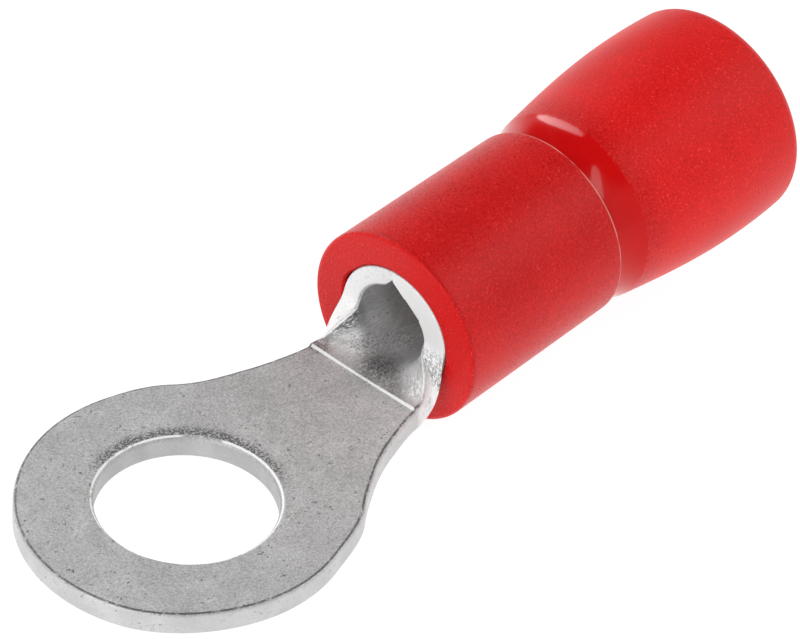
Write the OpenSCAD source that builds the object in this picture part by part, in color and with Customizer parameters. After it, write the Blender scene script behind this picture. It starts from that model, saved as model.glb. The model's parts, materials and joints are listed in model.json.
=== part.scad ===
// Insulated ring terminal for a 4 mm stud and a 0.5 to 1.5 mm2 wire.
// One stamped and rolled metal piece with a moulded sleeve pushed over its barrel.
// Millimetres. The origin is the stud hole's centre on the tongue's underside,
// +X runs along the barrel to the wire entry and +Z is square to the tongue.

/* [Ring tongue] */
// Stud hole's diameter
stud_d = 4.3; // [3.2:0.1:5.3]
// Diameter of the ring
ring_d = 8.15; // [7.2:0.05:9]
// Thickness of the sheet
sheet_t = 0.65; // [0.5:0.05:0.8]
// Thickness of the tongue, which is pressed thinner than the sheet
tongue_t = 0.58; // [0.4:0.02:0.65]
// Width of the neck where it is narrowest
neck_w = 3.16; // [2.6:0.02:3.6]
// Radius of the blend between ring and neck
neck_blend_r = 5.6; // [4:0.1:7]
// Distance from the hole's centre to the crease across the neck
crease_x = 5.98; // [5.6:0.02:6.3]
// Run of the crease, where the pressed tongue steps up to the sheet
crease_run = 0.05; // [0.02:0.01:0.1]
// Rounding of the hole's upper edge
hole_round = 0.14; // [0.05:0.01:0.25]

/* [Wire barrel] */
// Distance from the hole's centre to the barrel's mouth
mouth_x = 7.02; // [6.8:0.02:7.6]
// Outer diameter of the barrel
barrel_d = 3.2; // [2.8:0.05:3.6]
// Length of the barrel behind its mouth
barrel_len = 5; // [4.5:0.1:5.2]
// How far the barrel's underside lies below the tongue's
barrel_sink = 0.06; // [0:0.01:0.1]
// Radius in the corner where the neck widens into the barrel
wing_r = 0.68; // [0.4:0.02:0.9]
// Power of the curve by which the neck curls up into the barrel
curl_power = 3.2; // [2.4:0.1:4]
// Height of the V that the seam leaves inside the barrel
seam_v = 0.38; // [0.1:0.02:0.4]
// How far the seam is turned from the top of the barrel, in degrees
seam_turn = 6; // [-10:1:10]

/* [Sleeve] */
// Length of the sleeve
sleeve_len = 11.6; // [11.2:0.1:12.4]
// Diameter of the sleeve's front end
front_d = 4.95; // [4.6:0.05:5.4]
// Diameter where the grip section ends
grip_end_d = 4.84; // [4.5:0.05:5.2]
// Length of the grip section
grip_len = 5.38; // [5.3:0.02:6]
// Diameter of the waist behind the grip section
waist_d = 4.62; // [4.4:0.02:4.7]
// Length of the smooth flank that rises from the waist
flank_len = 0.85; // [0.5:0.05:1.2]
// Diameter at the foot of the bell, where the flank ends
bell_foot_d = 4.9; // [4.75:0.02:5.1]
// Largest diameter of the bell behind the waist
bell_d = 5.58; // [5.3:0.05:6]
// Distance from the front end to the bell's largest diameter
bell_at = 9.9; // [9:0.1:10.4]
// Bore of the wire entry
entry_d = 3.9; // [3.4:0.1:4.4]
// Length of the funnel from the wire entry to the barrel
funnel_len = 1.8; // [1:0.1:2.5]
// Thickness of the lip that the barrel's end seats on
lip_t = 0.25; // [0.15:0.05:0.4]
// Clearance between barrel and sleeve
sleeve_fit = 0; // [0:0.01:0.05]
// Rounding of the front and grip edges
edge_round = 0.1; // [0.05:0.01:0.15]
// Rounding of the rear rim
rim_round = 0.4; // [0.2:0.02:0.5]

/* [Hidden] */
$fn = 96;
eps = 0.1;

neck_half = neck_w / 2;
blend_x = sqrt(pow(ring_d / 2 + neck_blend_r, 2) - pow(neck_half + neck_blend_r, 2));
bore_d = barrel_d - 2 * sheet_t;
bend_r = (barrel_d - sheet_t) / 2;
axis_z = barrel_d / 2 - barrel_sink;
bell_foot = grip_len + flank_len;
waist_flat = 0.1;
// The curled sheet runs this far into the tongue and the barrel's wall, set in by weld_gap a side
weld_len = 0.4;
weld_gap = 0.02;
weld_lead = 0.12;
// Least bend of the sheet per millimetre, so that a flat section still has an arc
flat_bend = 0.0005;
curl_steps = 14;
strip_steps = 20;

function smooth(a) = a * a * (3 - 2 * a);
function clamp(a) = min(1, max(0, a));
function arc(cx, cy, r, a0, a1, n) =
    [for (i = [0:n]) let (a = a0 + (a1 - a0) * i / n) [cx + r * cos(a), cy + r * sin(a)]];

// Half of the neck's developed width at x: the ring's blend, then the corner into the barrel
function half_width(x) =
    let (ring_side = max(0, blend_x - x), barrel_side = min(wing_r, max(0, x - mouth_x + wing_r)))
    neck_half + neck_blend_r - sqrt(pow(neck_blend_r, 2) - pow(ring_side, 2))
        + wing_r - sqrt(pow(wing_r, 2) - pow(barrel_side, 2));

// One cross-section of the sheet at x, bent to an arc that tightens towards the barrel
function sheet_section(x) =
    let (
        part_way = clamp((x - crease_x) / (mouth_x - crease_x)),
        // Starts level at the crease and ends level at the barrel
        curl = pow(part_way, curl_power) * (1 + curl_power * (1 - part_way)),
        bend = max(flat_bend, curl / bend_r),
        full_t = tongue_t + (sheet_t - tongue_t) * clamp((x - crease_x) / crease_run),
        floor_z = full_t / 2 + (axis_z - bend_r - sheet_t / 2) * smooth(part_way),
        in_tongue = clamp((crease_x + crease_run - x) / crease_run),
        in_barrel = clamp((x - mouth_x + weld_lead) / weld_lead),
        half_t = full_t / 2 - weld_gap * max(in_tongue, in_barrel),
        half_w = half_width(min(x, mouth_x)) - weld_gap * in_tongue,
        side = [for (i = [0:strip_steps]) half_w * (2 * i / strip_steps - 1)]
    )
    concat(
        [for (u = side) sheet_point(x, u, bend, floor_z, -half_t)],
        [for (i = [strip_steps:-1:0]) sheet_point(x, side[i], bend, floor_z, half_t)]
    );
function sheet_point(x, u, bend, floor_z, lift) =
    let (a = u * bend * 180 / PI)
    [x, sin(a) / bend - lift * sin(a), floor_z + (1 - cos(a)) / bend + lift * cos(a)];

// Solid through a list of closed sections that all have the same number of points
module loft(sections) {
    n = len(sections[0]);
    last = len(sections) - 1;
    side_faces = [for (s = [0:last - 1], i = [0:n - 1])
        let (j = (i + 1) % n) [s * n + i, s * n + j, (s + 1) * n + j, (s + 1) * n + i]];
    triangles = [for (f = side_faces, half = [0, 1])
        half == 0 ? [f[0], f[2], f[1]] : [f[0], f[3], f[2]]];
    m = n / 2;
    front_cap = [for (i = [0:m - 2], half = [0, 1])
        half == 0 ? [i, i + 1, n - 2 - i] : [i, n - 2 - i, n - 1 - i]];
    rear_cap = [for (f = front_cap) [last * n + f[2], last * n + f[1], last * n + f[0]]];
    polyhedron(points = [for (s = sections, p = s) p], faces = concat(triangles, front_cap, rear_cap));
}

module tongue_outline() {
    circle(d = ring_d);
    difference() {
        for (side = [-1, 1])
            polygon([
                [0, 0],
                [blend_x, side * (neck_half + neck_blend_r)] * ring_d / (ring_d + 2 * neck_blend_r),
                [blend_x, side * (neck_half + neck_blend_r)],
                [blend_x, 0]
            ]);
        for (side = [-1, 1])
            translate([blend_x, side * (neck_half + neck_blend_r)]) circle(r = neck_blend_r);
    }
}

module tongue() {
    difference() {
        linear_extrude(tongue_t) intersection() {
            tongue_outline();
            translate([-ring_d, -ring_d]) square([ring_d + crease_x, 2 * ring_d]);
        }
        translate([0, 0, -eps]) cylinder(d = stud_d, h = tongue_t + 2 * eps);
        // Rounded upper edge of the stamped hole
        rotate_extrude() difference() {
            translate([stud_d / 2 - eps, tongue_t - hole_round])
                square([hole_round + eps, hole_round + eps]);
            translate([stud_d / 2 + hole_round, tongue_t - hole_round]) circle(r = hole_round);
        }
    }
}

// The neck curling up from the crease into the barrel's wall
module curled_neck() {
    curl_start = crease_x + crease_run;
    curl = [for (i = [0:curl_steps]) curl_start + (mouth_x - curl_start) * i / curl_steps];
    loft([for (x = concat([crease_x - weld_len, crease_x], curl, [mouth_x + weld_len])) sheet_section(x)]);
}

module barrel() {
    translate([mouth_x, 0, axis_z]) rotate([0, 90, 0]) difference() {
        cylinder(d = barrel_d, h = barrel_len);
        translate([0, 0, -eps]) cylinder(d = bore_d, h = barrel_len + 2 * eps);
        // V left along the inside of the butted seam
        rotate(-seam_turn) translate([0, 0, -eps]) linear_extrude(barrel_len + 2 * eps) polygon([
            [-bore_d / 2 - seam_v, 0],
            [-bore_d / 3, seam_v + bore_d / 6],
            [-bore_d / 3, -seam_v - bore_d / 6]
        ]);
    }
}

module terminal() {
    color("silver") {
        tongue();
        curled_neck();
        barrel();
    }
}

// Radius of the bell at a distance s behind the front end: a sine that rises from its foot
function bell_r(s) =
    bell_foot_d / 2 + (bell_d - bell_foot_d) / 2 * sin(90 * (s - bell_foot) / (bell_at - bell_foot));

module sleeve_profile() {
    bell_steps = 14;
    bell_end = sleeve_len - rim_round;
    lip_at = barrel_len;
    bore_end = lip_at + lip_t;
    polygon(concat(
        arc(front_d / 2 - edge_round, edge_round, edge_round, -90, 0, 5),
        arc(grip_end_d / 2 - edge_round, grip_len - edge_round, edge_round, 0, 80, 4),
        [[waist_d / 2, grip_len], [waist_d / 2, grip_len + waist_flat]],
        [for (i = [0:bell_steps])
            let (s = bell_foot + (bell_end - bell_foot) * i / bell_steps) [bell_r(s), s]],
        arc(bell_r(bell_end) - rim_round, bell_end, rim_round, 12, 90, 6),
        [
            [entry_d / 2 + rim_round / 2, sleeve_len],
            [entry_d / 2, sleeve_len - rim_round / 2],
            [entry_d / 2, bore_end + funnel_len],
            [bore_d / 2, bore_end],
            [bore_d / 2, lip_at],
            [barrel_d / 2 + sleeve_fit, lip_at],
            [barrel_d / 2 + sleeve_fit, 0]
        ]
    ));
}

module insulating_sleeve() {
    color("red")
        translate([mouth_x, 0, axis_z]) rotate([0, 90, 0]) rotate_extrude() sleeve_profile();
}

terminal();
insulating_sleeve();
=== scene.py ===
import json
import math

import bpy
from mathutils import Matrix, Vector, geometry


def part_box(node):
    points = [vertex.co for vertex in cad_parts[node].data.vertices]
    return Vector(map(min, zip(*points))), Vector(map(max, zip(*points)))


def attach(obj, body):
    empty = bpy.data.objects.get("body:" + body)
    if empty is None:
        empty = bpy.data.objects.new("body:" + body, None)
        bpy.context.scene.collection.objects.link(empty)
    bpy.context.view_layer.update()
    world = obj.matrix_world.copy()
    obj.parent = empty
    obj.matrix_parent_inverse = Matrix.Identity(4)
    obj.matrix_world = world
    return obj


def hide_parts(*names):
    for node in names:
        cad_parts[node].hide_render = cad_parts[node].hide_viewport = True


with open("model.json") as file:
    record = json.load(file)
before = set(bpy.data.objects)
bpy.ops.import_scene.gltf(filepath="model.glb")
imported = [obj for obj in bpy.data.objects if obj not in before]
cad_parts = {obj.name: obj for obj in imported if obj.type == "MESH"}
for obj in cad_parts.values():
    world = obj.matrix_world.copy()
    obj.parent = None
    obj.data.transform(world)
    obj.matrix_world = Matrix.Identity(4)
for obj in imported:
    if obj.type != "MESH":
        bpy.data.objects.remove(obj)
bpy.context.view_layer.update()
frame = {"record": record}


# ---------------------------------------------------------------------------
# Camera: a long lens that looks down along the part from beyond its ring, at
# the -Y side, so the barrel's mouth and the sleeve behind it are both seen.
# ---------------------------------------------------------------------------
MM = 0.001
camera_aim = Vector((5.36, -1.57, 3.74)) * MM
camera_distance = 222.4 * MM
camera_azimuth = math.radians(219.89)
camera_elevation = math.radians(40.65)
camera_roll = math.radians(3.49)

camera_back = Vector((
    math.cos(camera_elevation) * math.cos(camera_azimuth),
    math.cos(camera_elevation) * math.sin(camera_azimuth),
    math.sin(camera_elevation),
))
level_right = Vector((0, 0, 1)).cross(camera_back).normalized()
level_up = camera_back.cross(level_right)
camera_right = level_right * math.cos(camera_roll) + level_up * math.sin(camera_roll)
camera_up = camera_back.cross(camera_right)

lens = bpy.data.cameras.new("camera")
lens.lens = 434.5
lens.sensor_width = 36
lens.clip_start = 0.01
lens.clip_end = 20
camera = bpy.data.objects.new("camera", lens)
camera.matrix_world = Matrix.Translation(camera_aim + camera_back * camera_distance) @ Matrix(
    (camera_right, camera_up, camera_back)
).transposed().to_4x4()
bpy.context.scene.collection.objects.link(camera)
bpy.context.scene.camera = camera


# ---------------------------------------------------------------------------
# Terminal: one blank stamped from copper sheet, its tongue pressed a little
# thinner, then rolled behind the crease into a barrel whose edges butt along
# the top, and tin-plated all over.
# ---------------------------------------------------------------------------
terminal_low, terminal_high = (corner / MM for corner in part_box("terminal"))
sleeve_low, sleeve_high = (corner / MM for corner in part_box("insulating_sleeve"))
mounts = {m["name"]: m for m in frame["record"]["mounts"]}

# Lengths are in millimetres up to where a mesh is made
ring_r = -terminal_low.x
hole_r = mounts["stud_hole"]["dims"]["r_mm"]
bore_r = mounts["wire_barrel"]["dims"]["r_mm"]
tongue_t = mounts["nut_face"]["pos_m"][2] / MM
barrel_r = (terminal_high.z - terminal_low.z) / 2
axis_z = (sleeve_low.z + sleeve_high.z) / 2
mouth_x = sleeve_low.x
barrel_end = terminal_high.x
sheet_t = barrel_r - bore_r
bend_r = barrel_r - sheet_t / 2
neck_half = 1.58
blend_r = 5.6
crease_x = 5.98
# The pressed tongue steps up to the full sheet in a short run that grows towards the neck's edges
crease_run = 0.014
crease_growth = 0.036
# The die curls the two sides a little differently: 1 is the +Y side and -1 the other
wing_r = {1: 0.7, -1: 0.68}
curl_power = 3.2
seam_turn = math.radians(6)
seam_v = 0.38
corner_r = 0.05
# Radii that the punch leaves along the upper edges, and the one along all lower edges
hole_round = 0.14
tongue_round = 0.1
barrel_round = 0.07
seam_round = 0.035
lower_round = 0.035

blend_x = math.sqrt((ring_r + blend_r) ** 2 - (neck_half + blend_r) ** 2)
seam_edge = {1: bend_r * (math.pi - seam_turn), -1: bend_r * (math.pi + seam_turn)}


def clamp(value):
    return min(1.0, max(0.0, value))


def smooth(value):
    value = clamp(value)
    return value * value * (3 - 2 * value)


def rise(value, low, high):
    """Smooth step of a value, from 0 at low to 1 at high"""
    return smooth((value - low) / (high - low))


def side_of(v):
    return 1 if v > 0 else -1


def spaced(start, end, step):
    """Values from start towards end in equal steps of at most step, without end itself"""
    count = max(2, math.ceil(abs(end - start) / step))
    return [start + (end - start) * i / count for i in range(count)]


def half_width(x, side):
    wing = wing_r[side]
    ring_side, barrel_side = max(0, blend_x - x), min(wing, max(0, x - mouth_x + wing))
    return (neck_half + blend_r - math.sqrt(blend_r ** 2 - ring_side ** 2)
            + wing - math.sqrt(wing ** 2 - barrel_side ** 2))


def half_outline(side):
    """One side of the blank's edge, from the ring's tip to the middle of the barrel's rear edge"""
    join = math.atan2(neck_half + blend_r, blend_x)
    edge, wing = seam_edge[side], wing_r[side]
    quarter = math.pi / 2
    # The steps are in millimetres, or in radians round an arc
    path = [(ring_r * math.cos(a), ring_r * math.sin(a)) for a in spaced(math.pi, join, 0.02)]
    path += [(x, half_width(x, side)) for x in spaced(ring_r * math.cos(join), crease_x - 0.1, 0.09)]
    path += [(x, half_width(x, side)) for x in spaced(crease_x - 0.1, mouth_x - wing, 0.025)]
    for a in spaced(0, quarter, 0.06):
        x = mouth_x - wing + wing * math.sin(a)
        path.append((x, half_width(x, side)))
    path += [(mouth_x, v) for v in spaced(neck_half + wing, edge - corner_r, 0.05)]
    path += [(mouth_x + corner_r * (1 - math.cos(a)), edge - corner_r * (1 - math.sin(a)))
             for a in spaced(0, quarter, 0.5)]
    path += [(x, edge) for x in spaced(mouth_x + corner_r, barrel_end - corner_r, 0.2)]
    path += [(barrel_end - corner_r * (1 - math.sin(a)), edge - corner_r * (1 - math.cos(a)))
             for a in spaced(0, quarter, 0.5)]
    path += [(barrel_end, v) for v in spaced(edge - corner_r, 0, 0.15)]
    return [(x, side * v) for x, v in path]


def with_normals(loop):
    """Adds to each point of a loop that runs clockwise the direction that points out of the sheet"""
    found = []
    for i, (x, v) in enumerate(loop):
        before, after = Vector(loop[i - 1]), Vector(loop[(i + 1) % len(loop)])
        here = Vector((x, v))
        along = (here - before).normalized() + (after - here).normalized()
        along.normalize()
        found.append((x, v, -along.y, along.x))
    return found


half_left, half_right = half_outline(1), half_outline(-1)
outline = with_normals(half_left + [(barrel_end, 0.0)] + half_right[:0:-1])
hole = [(hole_r * math.cos(a), hole_r * math.sin(a), -math.cos(a), -math.sin(a))
        for a in spaced(0, 2 * math.pi, 0.03)]


def half_thickness(x, v):
    run = crease_run + crease_growth * (v / neck_half) ** 2
    return (tongue_t + (sheet_t - tongue_t) * smooth((x - crease_x) / run)) / 2


def neck_part(x):
    """How far x is from the crease to the barrel's mouth, from 0 to 1"""
    return clamp((x - crease_x) / (mouth_x - crease_x))


# The die thins the curled sheet's +Y side and thickens the other a little: fully at this distance from
# the blank's middle, and not at all this far into the barrel
thinned = {1: 0.15, -1: -0.02}
thinned_from_middle = 1.3
thinned_into_barrel = 0.9
# The V inside the seam starts this far in front of the barrel's mouth
seam_v_lead = 0.2


def upper_lift(x, v):
    """Height of the blank's upper face over its middle, with the V that is left inside the seam"""
    side = side_of(v)
    from_seam = (seam_edge[side] - abs(v)) / bend_r
    into_barrel = smooth((mouth_x + thinned_into_barrel - x) / thinned_into_barrel)
    lift = half_thickness(x, v)
    lift -= thinned[side] * smooth(neck_part(x)) * into_barrel * smooth(abs(v) / thinned_from_middle)
    if x > mouth_x - seam_v_lead and from_seam < 1:
        lift = min(lift, bend_r - (bore_r + seam_v) / (math.cos(from_seam) + math.sin(from_seam)))
    return lift


# The press squeezes each side of the neck wider. This grows behind the ring, eases by a share of it in
# front of the crease, and is gone at the barrel's mouth.
neck_spread = 0.165
spread_from = {1: 2.7, -1: 1.95}
spread_to = {1: 4.3, -1: 3.6}
spread_eased = 0.4
eased_from, eased_to = 4.9, 6.1
# It leaves the ring's edge lean, more so at the sides, which begin and end at shares of the ring's radius.
# Neither the hole nor the neck gets lean.
ring_lean = 0.035
side_lean = {1: 0.045, -1: 0.15}
side_from, side_to = 0.35, 0.95
lean_from_r, lean_to_r = 2.5, 4.0
lean_fades_from, lean_fades_to = 1.2, 2.7


def pressed(x, v):
    """Where a point of the blank lies after the press"""
    side = side_of(v)
    spread = neck_spread * rise(x, spread_from[side], spread_to[side])
    spread *= (1 - spread_eased * rise(x, eased_from, eased_to)) * (1 - rise(x, eased_to, mouth_x))
    if spread > 0:
        v *= 1 + spread / half_width(x, side)
    lean = ring_lean + side_lean[side] * rise(abs(v) / ring_r, side_from, side_to)
    lean *= rise(math.hypot(x, v), lean_from_r, lean_to_r) * (1 - rise(x, lean_fades_from, lean_fades_to))
    return x * (1 - lean / ring_r), v * (1 - lean / ring_r)


# A turn too small to divide by
least_turn = 1e-4


def bent(x, v, lift):
    """Where a point of the flat blank lies once the sheet is rolled"""
    part_way = neck_part(x)
    curl = part_way ** curl_power * (1 + curl_power * (1 - part_way)) / bend_r
    middle = half_thickness(x, v) + (axis_z - bend_r - sheet_t / 2) * smooth(part_way)
    x, v = pressed(x, v)
    if curl * max(abs(v), 1) < least_turn:
        return Vector((x, v, middle + lift))
    turn = v * curl
    return Vector((x, math.sin(turn) / curl - lift * math.sin(turn),
                   middle + (1 - math.cos(turn)) / curl + lift * math.cos(turn)))


# Edges closer than this to the seam, and from this far in front of the mouth on, have the seam's rounding
seam_reach = 0.2
seam_lead = 0.1


def upper_round(x, v, hole_edge):
    """Radius that the punch leaves along the blank's upper edge"""
    if hole_edge:
        return hole_round
    if abs(v) > min(seam_edge.values()) - seam_reach and x > mouth_x - seam_lead:
        return seam_round
    return tongue_round - (tongue_round - barrel_round) * smooth(neck_part(x))


arc_steps = 5
wall_steps = 4


def edge_levels(x, v, nx, nv, hole_edge):
    """The rounded edge of the sheet at one point of its outline, from the upper to the lower face"""

    def rounded(radius, angle):
        """Place on the blank and normal of a point of a rounding"""
        out, up = math.sin(angle), math.cos(angle)
        return x - nx * radius * (1 - out), v - nv * radius * (1 - out), (nx * out, nv * out, up)

    upper = upper_round(x, v, hole_edge)
    levels = []
    for k in range(arc_steps + 1):
        a = math.pi / 2 * k / arc_steps
        px, pv, normal = rounded(upper, a)
        levels.append((px, pv, upper_lift(px, pv) - upper * (1 - math.cos(a)), normal))
    high, low = levels[-1][2], lower_round - half_thickness(x, v)
    for k in range(1, wall_steps):
        levels.append((x, v, high + (low - high) * k / wall_steps, (nx, nv, 0)))
    for k in range(arc_steps + 1):
        a = math.pi / 2 * (1 + k / arc_steps)
        px, pv, normal = rounded(lower_round, a)
        levels.append((px, pv, lower_round * (1 + math.cos(a)) - half_thickness(px, pv), normal))
    return levels


# Points of the sheet on the flat blank, with normals, how far each is on the sheared edge, and faces
points, normals, wall_share, faces = [], [], [], []


def add_point(x, v, lift, normal, wall):
    points.append((x, v, lift))
    normals.append(normal)
    wall_share.append(wall)
    return len(points) - 1


def add_edge(loop, hole_edge):
    """Builds the sheet's edge all along a loop, and returns its uppermost and lowest rows of points"""
    columns = []
    for point in loop:
        levels = edge_levels(*point, hole_edge)
        columns.append([add_point(px, pv, lift, n, 1 - abs(n[2])) for px, pv, lift, n in levels])
    for i, column in enumerate(columns):
        other = columns[(i + 1) % len(columns)]
        for k in range(len(column) - 1):
            faces.append((column[k], other[k], other[k + 1], column[k + 1]))
    return [c[0] for c in columns], [c[-1] for c in columns]


outer_rows = add_edge(outline, False)
hole_rows = add_edge(hole, True)

# The faces' own points keep off the sheet's edges by these and by a share of the step between them
end_margin = 0.06
seam_margin = 0.05
share_of_step = 0.4
# Beyond this distance from the blank's middle the wing's corner is the nearest edge
wing_from = neck_half - 0.2


def inside(x, v, margin):
    """Whether a point of the blank lies in the sheet, at least margin from every edge"""
    side = side_of(v)
    wing = wing_r[side]
    from_centre = math.hypot(x, v)
    if from_centre < hole_r + hole_round + margin:
        return False
    if x >= mouth_x:
        lengthwise = mouth_x + end_margin + margin < x < barrel_end - end_margin - margin
        return lengthwise and abs(v) < seam_edge[side] - seam_margin - margin
    if x < ring_r * math.cos(math.atan2(neck_half + blend_r, blend_x)):
        return from_centre < ring_r - tongue_round - margin
    if x > mouth_x - wing and abs(v) > wing_from:
        from_wing = math.hypot(x - mouth_x + wing, neck_half + wing - abs(v))
        return from_wing > wing + tongue_round + margin and abs(v) < neck_half + wing
    return abs(v) < half_width(x, side) - tongue_round - margin


# Steps between the points of the faces
tongue_step = 0.13
curl_step = 0.05
mouth_step = 0.1
barrel_step = 0.16


def face_points():
    """Points spread over the sheet's faces, closest where it curls"""
    curl_end, mouth_end = mouth_x + 0.4, mouth_x + 1.8
    rows = [(x, tongue_step) for x in spaced(tongue_step - ring_r, crease_x - 0.12, tongue_step)]
    rows += [(crease_x + d, curl_step) for d in (-0.12, -0.06, -0.02, 0)]
    rows += [(crease_x + crease_run * d, curl_step) for d in (0.3, 0.7, 1, 1.5, 2.1, 3)]
    rows += [(x, curl_step) for x in spaced(crease_x + crease_run * 3 + curl_step, curl_end, curl_step)]
    rows += [(x, mouth_step) for x in spaced(curl_end, mouth_end, mouth_step)]
    rows += [(x, barrel_step) for x in spaced(mouth_end, barrel_end, barrel_step)]
    widest = max(ring_r, seam_edge[-1])
    for x, step in rows:
        count = math.ceil(widest / step)
        for i in range(-count, count + 1):
            if inside(x, i * step, share_of_step * step):
                yield x, i * step


scattered = list(face_points())


def add_face(upper):
    """Fills the sheet's upper or lower face between its edges with triangles"""
    row = 0 if upper else 1
    known = outer_rows[row] + hole_rows[row]
    first = len(outer_rows[row])
    flat = [Vector(points[i][:2]) for i in known]
    edges = [(i, (i + 1) % first) for i in range(first)]
    edges += [(first + i, first + (i + 1) % len(hole)) for i in range(len(hole))]
    index = list(known)
    for x, v in scattered:
        flat.append(Vector((x, v)))
        lift = upper_lift(x, v) if upper else -half_thickness(x, v)
        index.append(add_point(x, v, lift, (0, 0, 1 if upper else -1), 0))
    inside_only, tolerance = 1, 1e-5
    made, _, triangles, origin, _, _ = geometry.delaunay_2d_cdt(
        flat, edges, [list(range(first))], inside_only, tolerance)
    # The triangles that lie in the hole are left out
    edge_r = (hole_r + (hole_round if upper else lower_round)) * 0.9999
    for t in triangles:
        middle = sum((made[i] for i in t), Vector((0, 0))) / 3
        if middle.length >= edge_r:
            corners = [index[origin[i][0]] for i in t]
            faces.append(corners if upper else corners[::-1])


add_face(True)
add_face(False)

# Step by which the roll is measured round a point
probe = 0.002
# Points of the edge below this height follow the lower face
follows_lower = -0.1


def bent_normal(x, v, lift, normal):
    """Direction that a normal of the flat blank takes once the sheet is rolled"""
    here = bent(x, v, lift)

    def face_lift(fx, fv):
        return upper_lift(fx, fv) if lift > follows_lower else -half_thickness(fx, fv)

    along = (bent(x + probe, v, lift + face_lift(x + probe, v) - face_lift(x, v)) - here) / probe
    across = (bent(x, v + probe, lift + face_lift(x, v + probe) - face_lift(x, v)) - here) / probe
    out = (bent(x, v, lift + probe) - here) / probe
    jacobian = Matrix((along, across, out)).transposed()
    return (jacobian.inverted_safe().transposed() @ Vector(normal)).normalized()


def add_object(name, places, polygons):
    """Links an object with a smooth-shaded mesh to the scene, and returns both"""
    mesh = bpy.data.meshes.new(name)
    mesh.from_pydata(places, [], polygons)
    mesh.polygons.foreach_set("use_smooth", [True] * len(mesh.polygons))
    made = bpy.data.objects.new(name, mesh)
    bpy.context.scene.collection.objects.link(made)
    return made, mesh


stamped_terminal, terminal_mesh = add_object("stamped_terminal", [bent(*p) * MM for p in points], faces)
terminal_mesh.normals_split_custom_set_from_vertices([bent_normal(*p, n) for p, n in zip(points, normals)])
sheared = terminal_mesh.attributes.new("sheared", "FLOAT", "POINT")
sheared.data.foreach_set("value", wall_share)
blank = terminal_mesh.attributes.new("blank", "FLOAT_VECTOR", "POINT")
blank.data.foreach_set("vector", [c * MM for p in points for c in p])


class Shade:
    """A socket of a material's nodes: arithmetic on it adds Math nodes"""

    def __init__(self, tree, socket=None):
        self.tree, self.socket = tree, socket

    def node(self, kind, settings=None, sockets=None, output=0):
        """Adds a node: its settings are set first, then its sockets take values or links"""
        made = self.tree.nodes.new("ShaderNode" + kind)
        for name, value in (settings or {}).items():
            setattr(made, name, value)
        for name, value in (sockets or {}).items():
            if isinstance(value, Shade):
                self.tree.links.new(value.socket, made.inputs[name])
            else:
                made.inputs[name].default_value = value
        return Shade(self.tree, made.outputs[output] if made.outputs else None)

    def math(self, operation, *terms):
        return self.node("Math", {"operation": operation}, dict(enumerate(terms)))

    def __add__(self, other):
        return self.math("ADD", self, other)

    __radd__ = __add__

    def __sub__(self, other):
        return self.math("SUBTRACT", self, other)

    def __rsub__(self, other):
        return self.math("SUBTRACT", other, self)

    def __mul__(self, other):
        return self.math("MULTIPLY", self, other)

    __rmul__ = __mul__

    def mix(self, low, high):
        """Colour between low and high, by this value"""
        return self.node("Mix", {"data_type": "RGBA"}, {0: self, 6: low, 7: high}, 2)

    def rise(self, low, high):
        """Smooth step of this value, from 0 at low to 1 at high"""
        return self.node("MapRange", {"interpolation_type": "SMOOTHSTEP"},
                         {"Value": self, "From Min": low, "From Max": high})

    def band(self, start, full, fading, end):
        """1 where this value is between full and fading, and 0 before start and after end"""
        return self.rise(start, full) * (1 - self.rise(fading, end))

    def vector(self, operation, other, output=0):
        return self.node("VectorMath", {"operation": operation}, {0: self, 1: other}, output)

    def component(self, number):
        return self.node("SeparateXYZ", sockets={"Vector": self}, output=number)

    def grain(self, size, detail=2.0, rough=0.5, stretch=(1, 1, 1)):
        """Noise over the piece whose features are about size millimetres across"""
        scaled = self.vector("MULTIPLY", tuple(s / (size * MM) for s in stretch))
        return self.node("TexNoise", sockets={
            "Vector": scaled, "Scale": 1.0, "Detail": detail, "Roughness": rough})


def new_material(name):
    """An empty procedural material, and the object coordinates of what it covers"""
    material = bpy.data.materials.new(name)
    material.use_nodes = True
    material.node_tree.nodes.clear()
    return material, Shade(material.node_tree).node("TexCoord", output=3)


def weighed(start, *marks):
    """A start value, plus each mark times its weight"""
    total = start
    for weight, mark in marks:
        total = total + weight * mark
    return total


tin, place = new_material("tinned_copper")
# Coordinates of the flat blank, so that marks of the mill and the die follow the sheet round its bends
flat = place.node("Attribute", {"attribute_name": "blank"}, output=1)
# 0 on the faces, growing round the edges' roundings to 1 where the sheet is sheared
sheared_part = place.node("Attribute", {"attribute_name": "sheared"}, output=2)
along = flat.component(0) * (1 / MM)
across = flat.component(1) * (1 / MM)
to_minus_y = 0 - across
far_side = flat.vector("DOT_PRODUCT", (0.76 / MM, 0.65 / MM, 0), 1)
curled = along.rise(crease_x + 0.02, crease_x + 0.3)
on_face = 1 - sheared_part.rise(0.0, 0.1)


def distance_from(x, v):
    """Distance on the blank from a point of it"""
    offset = flat.vector("SUBTRACT", (x * MM, v * MM, 0)).vector("MULTIPLY", (1 / MM, 1 / MM, 0))
    return offset.vector("LENGTH", (0, 0, 0), 1)


def spot(x, v, radius):
    """A patch on the sheet's faces, strongest in its middle"""
    return (1 - distance_from(x, v).rise(0.2 * radius, radius)) * on_face


# The tin's own grain, which the die draws out where the sheet curls and the shear smooths
mottle = flat.grain(0.8, 3.0)
speckle = flat.grain(0.045, 3.0, 0.8)
brushed = flat.grain(0.05, 3.0, 0.7, stretch=(0.15, 1, 1))
grains = 0.5 + (speckle - 0.5 + curled * on_face * 0.6 * (brushed - speckle)) * (1 - 0.7 * sheared_part)
pits = flat.grain(0.11, 3.0, 0.7).rise(0.60, 0.70) * mottle.rise(0.38, 0.55)

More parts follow.
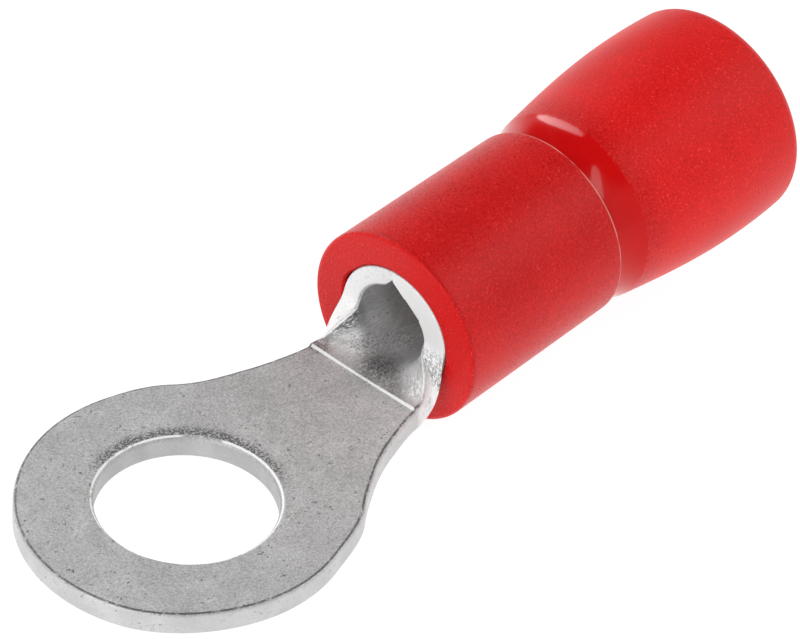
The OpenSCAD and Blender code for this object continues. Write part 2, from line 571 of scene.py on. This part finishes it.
# Grey dust that the punch leaves round the far side of the hole, and a broken line of painted shade along
# the outer edge's rounding, standing in for the dark reflection there
from_hole = distance_from(0, 0)
punched = far_side.rise(0.2, 1.6) * (1 - from_hole.rise(hole_r + 0.16, hole_r + 0.48))
dusty = flat.grain(0.07, 3.0, 0.8).rise(0.42, 0.56)
outer_edge = sheared_part.band(0.005, 0.03, 0.15, 0.3) * from_hole.rise(3.0, 3.2)
# Past the crease the outer edge gets a painted highlight instead of the painted shade
past_crease = along.rise(6.1, 6.35)
painted_edge_shade = outer_edge * (1 - past_crease) * flat.grain(0.3, 3.0, 0.7).rise(0.32, 0.5)

# The hole's wall is duller, with a painted highlight along its lip, broken here and there
hole_wall = sheared_part * (1 - from_hole.rise(hole_r + 0.3, hole_r + 0.5))
hole_lip = hole_wall.band(0.04, 0.09, 0.2, 0.32)
painted_lip_highlight = hole_lip * flat.grain(0.7, 3.0, 0.7).rise(0.40, 0.56)

# A painted highlight along the crease, up to where its run ends in a curve towards the neck's edges
crease_end = crease_x + crease_run
straightened = along - across * across * (crease_growth / neck_half ** 2)
painted_crease_highlight = along.rise(crease_x - 0.006, crease_x + 0.002) * on_face
painted_crease_highlight = painted_crease_highlight * (1 - straightened.rise(crease_end - 0.004, crease_end + 0.006))

# The sheet's sloping ends at the barrel's mouth. The one at the -Y side is given painted light high up
# and painted shade low down, with a band of dirt below
end_face = sheared_part * curled
end_speckle = flat.grain(0.09, 3.0, 0.8) - 0.52
right_wing = end_face * to_minus_y.rise(1.0, 1.6)
painted_shade_low_wing = right_wing * (1 - to_minus_y.rise(1.75, 1.95))
wing_dirt = right_wing * to_minus_y.band(1.62, 1.75, 1.95, 2.2)
wing_dirt = wing_dirt * flat.grain(0.05, 2.0, 0.7).rise(0.42, 0.5)

# Speckled patches of painted highlight in the trough, and speckled patches of painted shade where it is
# dark
speckled = flat.grain(0.06, 3.0, 0.8)
painted_trough_highlight = 0.75 * spot(6.85, 0.8, 0.6) + 0.5 * spot(6.45, -1.3, 0.32) + 0.35 * spot(7.6, 0.3, 0.7)
painted_trough_shade = 1.3 * spot(6.52, -0.1, 0.85) + spot(6.15, 1.35, 0.4)
painted_trough_shade = painted_trough_shade + 1.6 * spot(6.72, 1.7, 0.6) + 0.8 * spot(6.25, -0.8, 0.4)

# The tin's tone: its own grain, pits and dust, with painted highlights on the hole's lip, the crease, the
# edge past the crease, the trough and high on the -Y end face, and painted shade along the outer edge, low
# on that end face and in the trough
tone = weighed(
    0.315,
    (1.6, grains - 0.5),
    (0.4, mottle - 0.5),
    (-0.6, pits * (1 - hole_wall)),
    (-0.75, punched * on_face * dusty),
    (-0.55, painted_edge_shade),
    (0.22, sheared_part),
    (0.53, end_face),
    # painted highlight along the outer edge past the crease
    (0.5, outer_edge * past_crease),
    (-0.2, hole_wall),
    (1.2, painted_lip_highlight),
    (0.9, painted_crease_highlight),
    (0.27, curled * on_face),
    (0.3, right_wing),
    (-0.8, wing_dirt),
    (-0.35, painted_shade_low_wing),
    (1.45, painted_trough_highlight * speckled.rise(0.44, 0.56)),
    (-0.28, painted_trough_highlight),
    (-0.5, painted_trough_shade * speckled.rise(0.36, 0.52)),
    (1.2, end_face * end_speckle),
)
grey_tin = (0.12, 0.118, 0.119, 1)
bright_tin = (0.925, 0.92, 0.918, 1)
tin_colour = ((tone + 0.25) * 0.8).mix(grey_tin, bright_tin)
shine = weighed(
    0.35,
    (0.5, curled * on_face),
    (0.45, sheared_part.rise(0.1, 0.4)),
    (-0.3, painted_lip_highlight),
    (-0.6, painted_crease_highlight),
    (-0.25, right_wing),
)
roughness = 0.55 + 0.3 * (speckle - 0.5) + 0.03 * curled
bump = place.node("Bump", sockets={"Strength": 0.6, "Distance": 0.008 * MM, "Height": grains - 0.8 * pits})
metal = place.node("BsdfPrincipled", sockets={
    "Base Color": tin_colour, "Metallic": shine, "Roughness": roughness, "Normal": bump})
place.node("OutputMaterial", sockets={"Surface": metal})
terminal_mesh.materials.append(tin)

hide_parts("terminal")
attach(stamped_terminal, "root")


# ---------------------------------------------------------------------------
# Insulating sleeve: soft red PVC, moulded in one piece and pushed over the
# barrel. The grip section holds the barrel, and behind its waist the sleeve
# opens into a bell for the wire's own insulation.
# ---------------------------------------------------------------------------
sleeve_len = sleeve_high.x - sleeve_low.x
bell_r = (sleeve_high.z - sleeve_low.z) / 2
entry_r = mounts["wire_entry"]["dims"]["r_mm"]
barrel_len = barrel_end - mouth_x
front_r = 2.475
grip_end_r = 2.42
grip_len = 5.38
waist_r = 2.31
waist_flat = 0.1
bell_foot = 6.23
bell_foot_r = 2.45
bell_at = 9.9
edge_r = 0.1
rim_r = 0.4
lip_t = 0.25
funnel_len = 1.8
# The bore is drawn a hair wider than the barrel, so their faces don't lie in each other
bore_wall = barrel_r + 0.005
mouth_bevel = 0.06

waist_end = grip_len + waist_flat
bell_end = sleeve_len - rim_r
funnel_end = barrel_len + lip_t + funnel_len


def arc(s, r, radius, start, end, count):
    """Points of a quarter or less, as distance behind the front and radius from the axis"""
    angles = [math.radians(start + (end - start) * i / count) for i in range(count + 1)]
    return [(s + radius * math.sin(a), r + radius * math.cos(a)) for a in angles]


def bell_outer(s):
    part_way = (s - bell_foot) / (bell_at - bell_foot)
    return bell_foot_r + (bell_r - bell_foot_r) * math.sin(math.pi / 2 * part_way)


def flank_r(s):
    """The polished flank sweeps up from the waist in a hollow curve"""
    return waist_r + (bell_foot_r - waist_r) * ((s - waist_end) / (bell_foot - waist_end)) ** 2


def grip_r(s):
    return front_r + (grip_end_r - front_r) * s / grip_len


# The front face, the grip section, the waist and its flank, the bell and its rim, then the inside
profile = [(mouth_bevel, bore_wall), (0, barrel_r + mouth_bevel)]
profile += [(0, r) for r in spaced(barrel_r + 2 * mouth_bevel, front_r - edge_r, 0.12)]
profile += arc(edge_r, front_r - edge_r, edge_r, -90, 0, 6)
profile += [(s, grip_r(s)) for s in spaced(edge_r + 0.1, grip_len - edge_r, 0.15)]
profile += arc(grip_len - edge_r, grip_end_r - edge_r, edge_r, 0, 80, 5)
profile += [(grip_len, waist_r + 0.02), (grip_len + 0.02, waist_r), (waist_end, waist_r)]
profile += [(s, flank_r(s)) for s in spaced(waist_end + 0.05, bell_foot, 0.05)]
profile += [(s, bell_outer(s)) for s in spaced(bell_foot, bell_end, 0.15)]
profile += arc(bell_end, bell_outer(bell_end) - rim_r, rim_r, 10, 90, 8)
profile += [(sleeve_len - inward, entry_r + out) for inward, out in ((0, 0.25), (0.06, 0.06), (0.2, 0))]
profile += [(s, entry_r) for s in spaced(sleeve_len - 0.4, funnel_end, 0.3)]
profile += [(funnel_end, entry_r), (barrel_len + lip_t, bore_r), (barrel_len, bore_r)]
profile += [(barrel_len, bore_wall)]
profile += [(s, bore_wall) for s in spaced(barrel_len - 0.5, 0.3, 0.5)]

# The gap between the bore's mouth and the barrel, with its place and its reach in degrees
gap_width = 0.06
gap_at = 20
gap_reach = 20
gap_depth = 0.1


def gape(angle):
    """How far the mouth of the bore stands off the barrel"""
    return gap_width * smooth(1 - abs(math.degrees(angle) - gap_at) / gap_reach)


turns = 160
rings = []
for i in range(turns):
    a = 2 * math.pi * i / turns
    for s, r in profile:
        at_bore_mouth = s < gap_depth and r < barrel_r + gap_depth
        r += gape(a) if at_bore_mouth else 0
        rings.append(Vector((mouth_x + s, r * math.cos(a), axis_z + r * math.sin(a))) * MM)
count = len(profile)
sleeve_faces = []
for i in range(turns):
    j = (i + 1) % turns
    for k in range(count):
        m = (k + 1) % count
        sleeve_faces.append((i * count + k, i * count + m, j * count + m, j * count + k))
pvc_sleeve, sleeve_mesh = add_object("pvc_sleeve", rings, sleeve_faces)
sleeve_mesh.set_sharp_from_angle(angle=math.radians(35))

pvc, place = new_material("red_pvc")
behind_front = place.component(0) * (1 / MM) - mouth_x
front_face = 1 - behind_front.rise(0.01, 0.06)
polished = behind_front.band(grip_len - 0.01, grip_len + 0.02, bell_foot - 0.04, bell_foot + 0.04)
bell = behind_front.rise(bell_foot, bell_foot + 1.0)
fine = place.grain(0.06, 3.0, 0.8)
cloudy = place.grain(1.6, 2.0)
textured = (fine - 0.5) * (1 - polished)
# A painted highlight along the grip's rear edge, broken here and there
painted_grip_edge_highlight = behind_front.band(grip_len - 0.09, grip_len - 0.05, grip_len - 0.03, grip_len)
painted_grip_edge_highlight = painted_grip_edge_highlight * place.grain(0.6, 2.0, 0.6).rise(0.25, 0.5)
# The front edge is darker here and there
front_edge = behind_front.band(0.04, 0.08, 0.12, 0.18) * place.grain(0.4, 2.0).rise(0.3, 0.5)

depth = weighed(
    0.34,
    (0.6, cloudy - 0.5),
    (2.6, textured),
    (0.36, bell),
    # painted light: the front face is drawn a little lighter for the light it takes from the front
    (0.08, front_face),
    (-0.4, front_edge),
    (0.3, painted_grip_edge_highlight),
)
deep_red = (0.50, 0.0015, 0.003, 1)
clear_red = (0.80, 0.008, 0.006, 1)
dust = (0.95, 0.25, 0.22, 1)
painted_highlight_pink = (0.95, 0.50, 0.45, 1)
red = depth.mix(deep_red, clear_red)
# Light dust in the mould's texture
red = (0.35 * (1 - polished) * fine.rise(0.6, 0.7)).mix(red, dust)
red = (0.75 * painted_grip_edge_highlight).mix(red, painted_highlight_pink)
pvc_rough = weighed(
    0.31,
    (0.05, bell),
    (0.5, textured),
    (-0.2, polished),
    (-0.11, front_face),
)
pvc_bump = place.node("Bump", sockets={"Strength": 0.7, "Distance": 0.02 * MM, "Height": textured})
plastic = place.node("BsdfPrincipled", sockets={
    "Base Color": red, "Roughness": pvc_rough, "Normal": pvc_bump, "IOR": 1.5, "Specular IOR Level": 0.17,
    "Subsurface Weight": 0.25, "Subsurface Radius": (1.0, 0.1, 0.08), "Subsurface Scale": 0.5 * MM})
place.node("OutputMaterial", sockets={"Surface": plastic})
sleeve_mesh.materials.append(pvc)

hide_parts("insulating_sleeve")
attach(pvc_sleeve, "root")


# ---------------------------------------------------------------------------
# Floor: a pale light table, lit from below through white acrylic, that the
# ring's tip and the sleeve's front edge rest on, so it slopes under the part.
# ---------------------------------------------------------------------------
front_foot = Vector((mouth_x, 0, axis_z - front_r))
ring_foot = Vector((-ring_r, 0, 0))
slope = math.atan2(ring_foot.z - front_foot.z, front_foot.x - ring_foot.x)
half_side = 1200 * MM
floor_corners = [Vector((x, y, 0)) * half_side for x, y in ((-1, -1), (1, -1), (1, 1), (-1, 1))]
floor, floor_mesh = add_object("floor", floor_corners, [(0, 1, 2, 3)])
floor.rotation_euler = (0, slope, 0)
floor.location = ring_foot * MM
acrylic, place = new_material("white_acrylic")
sheet = place.node("BsdfPrincipled", sockets={
    "Base Color": (0.15, 0.15, 0.15, 1), "Roughness": 0.9, "Specular IOR Level": 0.0,
    "Emission Color": (1, 1, 1, 1), "Emission Strength": 0.95})
place.node("OutputMaterial", sockets={"Surface": sheet})
floor_mesh.materials.append(acrylic)


# ---------------------------------------------------------------------------
# Light: a white tent that is open to a dim room at its top and behind the +Y
# side, with soft boxes at the +Y side, behind the -Y side and in front of the
# ring.
# ---------------------------------------------------------------------------
box_distance = 500 * MM


def soft_box(name, direction, width, height, power):
    lamp = bpy.data.lights.new(name, "AREA")
    lamp.shape = "ELLIPSE"
    lamp.size = width
    lamp.size_y = height
    lamp.energy = power
    holder = bpy.data.objects.new(name, lamp)
    way = Vector(direction).normalized()
    turned = way.to_track_quat("Z", "Y").to_matrix().to_4x4()
    holder.matrix_world = Matrix.Translation(way * box_distance) @ turned
    bpy.context.scene.collection.objects.link(holder)


soft_box("left_strip", (0.21, 0.67, 0.65), 0.06, 0.58, 0.95)
soft_box("rear_right", (0.57, -0.45, 0.68), 0.12, 0.4, 0.55)
soft_box("front", (-0.85, -0.05, 0.35), 0.35, 0.35, 0.7)

tent = bpy.data.worlds.new("tent")
tent.use_nodes = True
tent.node_tree.nodes.clear()
sky = Shade(tent.node_tree)
towards = sky.node("TexCoord", output=0)


def opening(direction, inner, outer):
    """1 inside a round opening of the tent, falling to 0 between two angles from its middle"""
    nearness = towards.vector("DOT_PRODUCT", tuple(Vector(direction).normalized()), 1)
    return nearness.rise(math.cos(math.radians(outer)), math.cos(math.radians(inner)))


cloth = 0.78
dim_room = 0.08
brightness = cloth
# The openings are above, above the -Y side and behind the +Y side
for direction, inner, outer in (
    ((0.25, 0.2, 0.95), 24, 46),
    ((-0.1, -0.45, 0.89), 12, 38),
    ((0.58, 0.72, 0.38), 8, 24),
):
    brightness = brightness * (1 - opening(direction, inner, outer))
brightness = brightness + dim_room
glow = sky.node("Background", sockets={"Color": (1, 1, 1, 1), "Strength": brightness})
sky.node("OutputWorld", sockets={"Surface": glow})
bpy.context.scene.world = tent
bpy.context.scene.view_settings.view_transform = "Standard"
